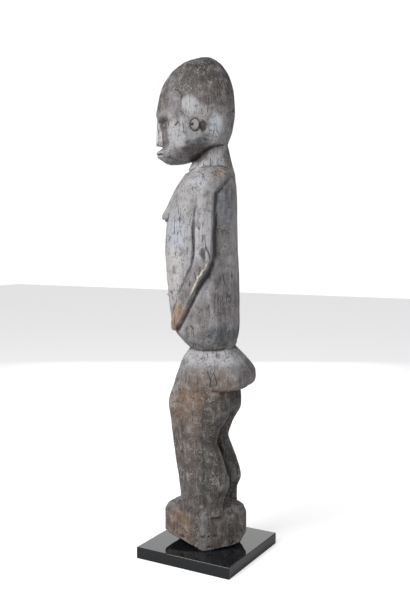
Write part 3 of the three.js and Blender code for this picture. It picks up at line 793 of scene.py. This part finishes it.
def mixed(tree, share, first, second, blend="MIX"):
    node = add(tree, "ShaderNodeMix", {0: share, 6: first, 7: second}, data_type="RGBA", blend_type=blend)
    return node.outputs[2]


def maths(tree, operation, first, second=0.0):
    return add(tree, "ShaderNodeMath", {0: first, 1: second}, operation=operation).outputs[0]


def ranged(tree, value, low, high, to_low=0.0, to_high=1.0):
    """Value stretched so that low to high becomes to_low to to_high, with soft ends."""
    node = add(tree, "ShaderNodeMapRange", {0: value, 1: low, 2: high, 3: to_low, 4: to_high})
    node.interpolation_type = "SMOOTHSTEP"
    return node.outputs[0]


def clouds(tree, place, scale, detail=4.0, roughness=0.6):
    return add(tree, "ShaderNodeTexNoise", {"Vector": place, "Scale": scale, "Detail": detail,
                                            "Roughness": roughness}).outputs[0]


# %% Grain, flecks and dust
def grain_group():
    """Long lines that follow the log: noise squeezed along z. Light and dark lines, thin drying checks where
    a stretched cell pattern comes close to its borders, and a height for the bump."""
    tree, given, out = group(
        "weathered_grain",
        [("Place", "NodeSocketVector", None), ("Fineness", "NodeSocketFloat", 260.0),
         ("Length", "NodeSocketFloat", 0.14)],
        [("Light", "NodeSocketFloat"), ("Dark", "NodeSocketFloat"), ("Checks", "NodeSocketFloat"),
         ("Height", "NodeSocketFloat")])
    along_z = add(tree, "ShaderNodeCombineXYZ", {0: 1.0, 1: 1.0, 2: given["Length"]}).outputs[0]
    squeezed = add(tree, "ShaderNodeVectorMath", {0: given["Place"], 1: along_z}, operation="MULTIPLY").outputs[0]
    lines = clouds(tree, squeezed, given["Fineness"], 5.0, 0.65)
    strands = clouds(tree, squeezed, maths(tree, "MULTIPLY", given["Fineness"], 0.35), 3.0, 0.5)
    cells = add(tree, "ShaderNodeTexVoronoi", {"Vector": squeezed, "Scale": maths(
        tree, "MULTIPLY", given["Fineness"], 0.3)}, feature="DISTANCE_TO_EDGE").outputs["Distance"]
    where = ranged(tree, clouds(tree, given["Place"], 32.0, 2.0), 0.52, 0.62)
    checks = maths(tree, "MULTIPLY", ranged(tree, cells, 0.05, 0.0), where)
    tree.links.new(ranged(tree, lines, 0.53, 0.72), out["Light"])
    tree.links.new(ranged(tree, maths(tree, "ADD", lines, maths(tree, "MULTIPLY", strands, 0.5)), 0.72, 0.5),
                   out["Dark"])
    tree.links.new(checks, out["Checks"])
    height = maths(tree, "SUBTRACT", maths(tree, "ADD", lines, strands), maths(tree, "MULTIPLY", checks, 0.8))
    tree.links.new(height, out["Height"])
    return tree


def fleck_group():
    """Small irregular flecks: fine noise above a threshold, thinned out by larger clouds."""
    tree, given, out = group(
        "flecks",
        [("Place", "NodeSocketVector", None), ("Scale", "NodeSocketFloat", 380.0),
         ("Share", "NodeSocketFloat", 0.5)],
        [("Mask", "NodeSocketFloat")])
    fine = clouds(tree, given["Place"], given["Scale"], 2.0, 0.7)
    where = clouds(tree, given["Place"], 45.0, 3.0)
    level = maths(tree, "ADD", fine, maths(tree, "MULTIPLY", maths(tree, "SUBTRACT", where, 0.5), 0.5))
    limit = maths(tree, "SUBTRACT", 0.78, maths(tree, "MULTIPLY", given["Share"], 0.2))
    above = maths(tree, "SUBTRACT", level, limit)
    tree.links.new(ranged(tree, above, -0.02, 0.04), out["Mask"])
    return tree


def dust_group():
    """Dust that settles on what faces up, broken by noise: the upward part of the normal, as a soft mask."""
    tree, given, out = group(
        "settled_dust",
        [("Place", "NodeSocketVector", None), ("Scale", "NodeSocketFloat", 120.0)],
        [("Mask", "NodeSocketFloat")])
    normal = add(tree, "ShaderNodeNewGeometry").outputs["Normal"]
    upward = add(tree, "ShaderNodeSeparateXYZ", {0: normal}).outputs[2]
    broken = ranged(tree, clouds(tree, given["Place"], given["Scale"], 5.0, 0.7), 0.35, 0.75)
    tree.links.new(maths(tree, "MULTIPLY", ranged(tree, upward, 0.25, 0.9), broken), out["Mask"])
    return tree


GROUPS = {"grain": grain_group(), "flecks": fleck_group(), "dust": dust_group()}
print("Shader groups:", ", ".join(sorted(GROUPS)))


# %% Weathered wood
def colour(name):
    return (*tone(name), 1.0)


def new_material(name):
    """Empty material with object coordinates and a Principled shader ready for use."""
    material = bpy.data.materials.new(name)
    material.use_nodes = True
    tree = material.node_tree
    tree.nodes.clear()
    place = add(tree, "ShaderNodeTexCoord").outputs["Object"]
    shader = add(tree, "ShaderNodeBsdfPrincipled")
    output = add(tree, "ShaderNodeOutputMaterial", {"Surface": shader.outputs[0]})
    return material, tree, place, shader


def placed(tree, name, inputs):
    return add(tree, "ShaderNodeGroup", node_tree=GROUPS[name]) if not inputs else fill(
        add(tree, "ShaderNodeGroup", node_tree=GROUPS[name]), tree, inputs)


def fill(node, tree, inputs):
    for key, value in inputs.items():
        if isinstance(value, bpy.types.NodeSocket):
            tree.links.new(value, node.inputs[key])
        else:
            node.inputs[key].default_value = value
    return node


def painted(tree, name):
    return add(tree, "ShaderNodeAttribute", attribute_name=name)


def wood_material():
    material, tree, place, shader = new_material("weathered_wood")
    # Painted colour: patina, with painted shade on the legs, arm and ear in it.
    base = painted(tree, "patina_and_shade").outputs["Color"]
    grain = placed(tree, "grain", {"Place": place}).outputs
    darker = mixed(tree, 1.0, base, (0.3, 0.28, 0.27, 1), "MULTIPLY")
    paler = mixed(tree, 0.55, base, colour("chalk"))
    blotch = clouds(tree, place, 70.0, 6.0, 0.72)
    base = mixed(tree, ranged(tree, blotch, 0.5, 0.36, 0.0, 0.7), base, darker)
    base = mixed(tree, ranged(tree, blotch, 0.5, 0.66, 0.0, 0.6), base, paler)
    base = mixed(tree, maths(tree, "MULTIPLY", grain["Dark"], 0.5), base, darker)
    base = mixed(tree, maths(tree, "MULTIPLY", grain["Light"], 0.5), base, paler)
    dark_flecks = placed(tree, "flecks", {"Place": place, "Scale": 330.0, "Share": 0.75}).outputs[0]
    pale_flecks = placed(tree, "flecks", {"Place": place, "Scale": 410.0, "Share": 0.65}).outputs[0]
    base = mixed(tree, maths(tree, "MULTIPLY", dark_flecks, 0.7), base, colour("soot_and_shade"))
    base = mixed(tree, maths(tree, "MULTIPLY", pale_flecks, 0.5), base, colour("chalk"))
    worn = painted(tree, "edge_wear").outputs["Fac"]
    base = mixed(tree, maths(tree, "MULTIPLY", worn, 0.25), base, colour("pale"))
    # Hollows darkened: partly dirt, partly painted shade.
    base = mixed(tree, maths(tree, "MULTIPLY", painted(tree, "hollow").outputs["Fac"], 0.8), base, colour("soot_and_shade"))
    base = mixed(tree, maths(tree, "MULTIPLY", grain["Checks"], 0.85), base, colour("soot_and_shade"))
    base = mixed(tree, painted(tree, "ivory").outputs["Fac"], base, colour("ivory"))
    tree.links.new(base, shader.inputs["Base Color"])
    rough_value = ranged(tree, blotch, 0.35, 0.65, 0.55, 0.82)
    tree.links.new(rough_value, shader.inputs["Roughness"])
    bump = add(tree, "ShaderNodeBump", {"Strength": 0.9, "Distance": 0.0016, "Height": grain["Height"]})
    tree.links.new(bump.outputs[0], shader.inputs["Normal"])
    return material


figure.data.materials.clear()
figure.data.materials.append(wood_material())
print("Wood material nodes:", len(figure.data.materials[0].node_tree.nodes))

# %% [markdown]
# The plate is a polished black slab with a narrow bevel. Its solid already has the right shape, but a polished
# edge is a small quarter round, and that line of light makes it look real. So the plate is a rounded
# profile carried round a square.

# %% Display plate
PLATE_EDGE = 1.0
EDGE_STEPS = 5


def plate_skin():
    """Profile of the plate's edge, two quarter rounds joined by the upright side, carried round the square with
    small rounded corners, and closed flat above and below."""
    quarter = np.linspace(0, np.pi / 2, EDGE_STEPS)
    inset = PLATE_EDGE * (1 - np.cos(quarter))
    rise = PLATE_EDGE * np.sin(quarter)
    half = PLATE_SIDE / 2
    profile = np.concatenate([
        np.stack([half - inset[::-1], PLATE_EDGE - rise[::-1]], axis=-1),
        np.stack([half - inset, PLATE_THICKNESS - PLATE_EDGE + rise], axis=-1)])
    turns = np.repeat(np.arange(4) * np.pi / 2, EDGE_STEPS)
    swing = turns + np.tile(quarter, 4)
    reach, z = profile[:, 0][:, None], profile[:, 1][:, None]
    radius = np.clip(reach - (half - PLATE_EDGE), 0.02, None)
    centre = half - PLATE_EDGE - np.clip(half - PLATE_EDGE - reach, 0, None)
    corner_x = np.sign(np.cos(turns + np.pi / 4)) * centre
    corner_y = np.sign(np.sin(turns + np.pi / 4)) * centre
    x = corner_x + radius * np.cos(swing)
    y = corner_y + radius * np.sin(swing)
    return skin(np.stack(np.broadcast_arrays(x, y, z), axis=-1))


plate = bpy.data.objects.new("polished_plate", joined_mesh("polished_plate", [plate_skin()]))
bpy.context.scene.collection.objects.link(plate)
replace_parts(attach(plate, "root"), "display_plate")


def plate_material():
    material, tree, place, shader = new_material("polished_black")
    dust = placed(tree, "dust", {"Place": place, "Scale": 260.0}).outputs[0]
    smear = clouds(tree, place, 14.0, 3.0)
    base = mixed(tree, maths(tree, "MULTIPLY", dust, 0.02), (0.003, 0.004, 0.006, 1), (0.3, 0.3, 0.31, 1))
    tree.links.new(base, shader.inputs["Base Color"])
    tree.links.new(ranged(tree, smear, 0.4, 0.7, 0.02, 0.06), shader.inputs["Roughness"])
    shader.inputs["IOR"].default_value = 1.5
    return material


plate.data.materials.append(plate_material())
plate.data.shade_flat()
print("Plate:", len(plate.data.polygons), "faces")

# %% [markdown]
# The setting is a studio: a pale floor, a bright even surround, and one large soft light high on the camera's
# left, which models the front of the figure and leaves its back a little darker.

# %% Floor, lights and camera
CAMERA = {"place": (1.1906, 0.6734, 0.549), "level": (-0.8686, -0.4956), "down": 4.97, "lens": 46.83}
RIGHT = np.array([CAMERA["level"][1], -CAMERA["level"][0], 0])
TOWARDS = -np.array([*CAMERA["level"], 0])
FLOOR_HALF = 6.0


def soft_light(name, right, towards, up, size, power):
    """Square area light, placed from the camera's point of view and aimed at the middle of the figure."""
    data = bpy.data.lights.new(name, "AREA")
    data.size = size
    data.energy = power
    lamp = bpy.data.objects.new(name, data)
    lamp.location = RIGHT * right + TOWARDS * towards + np.array([0, 0, up])
    lamp.rotation_euler = (Vector((0, 0, 0.42)) - lamp.location).to_track_quat("-Z", "Y").to_euler()
    lamp.visible_camera = False
    bpy.context.scene.collection.objects.link(lamp)


def seen_white(tree, white, otherwise):
    """Strength of a white surround: one value where the camera sees it, a lower one where it lights things."""
    direct = add(tree, "ShaderNodeLightPath").outputs["Is Camera Ray"]
    return add(tree, "ShaderNodeMapRange", {0: direct, 3: otherwise, 4: white}).outputs[0]


def studio_floor():
    mesh = bpy.data.meshes.new("studio_floor")
    mesh.from_pydata([(-FLOOR_HALF, -FLOOR_HALF, 0), (FLOOR_HALF, -FLOOR_HALF, 0), (FLOOR_HALF, FLOOR_HALF, 0),
                      (-FLOOR_HALF, FLOOR_HALF, 0)], [], [(0, 1, 2, 3)])
    floor = bpy.data.objects.new("studio_floor", mesh)
    bpy.context.scene.collection.objects.link(floor)
    material, tree, place, shader = new_material("pale_floor")
    shader.inputs["Base Color"].default_value = (0.6, 0.6, 0.6, 1)
    shader.inputs["Roughness"].default_value = 0.9
    shader.inputs["Emission Color"].default_value = (1, 1, 1, 1)
    tree.links.new(seen_white(tree, 0.55, 0.0), shader.inputs["Emission Strength"])
    mesh.materials.append(material)
    return floor


studio_floor()
soft_light("key_light", -1.25, 1.15, 1.65, 1.3, 62)
soft_light("fill_light", 1.5, 1.0, 1.0, 1.5, 10)
soft_light("back_card", 0.0, -2.0, 0.85, 1.5, 9)
world = bpy.data.worlds.new("studio")
world.use_nodes = True
surround = world.node_tree.nodes["Background"]
surround.inputs["Color"].default_value = (1, 1, 1, 1)
world.node_tree.links.new(seen_white(world.node_tree, 1.05, 0.33), surround.inputs["Strength"])
bpy.context.scene.world = world
camera_data = bpy.data.cameras.new("camera")
camera_data.lens = CAMERA["lens"]
camera_data.sensor_width = 36
camera = bpy.data.objects.new("camera", camera_data)
down = np.radians(CAMERA["down"])
aim = Vector((CAMERA["level"][0] * np.cos(down), CAMERA["level"][1] * np.cos(down), -np.sin(down)))
camera.location = CAMERA["place"]
camera.rotation_euler = aim.to_track_quat("-Z", "Y").to_euler()
bpy.context.scene.collection.objects.link(camera)
bpy.context.scene.camera = camera
bpy.context.scene.view_settings.view_transform = "Standard"
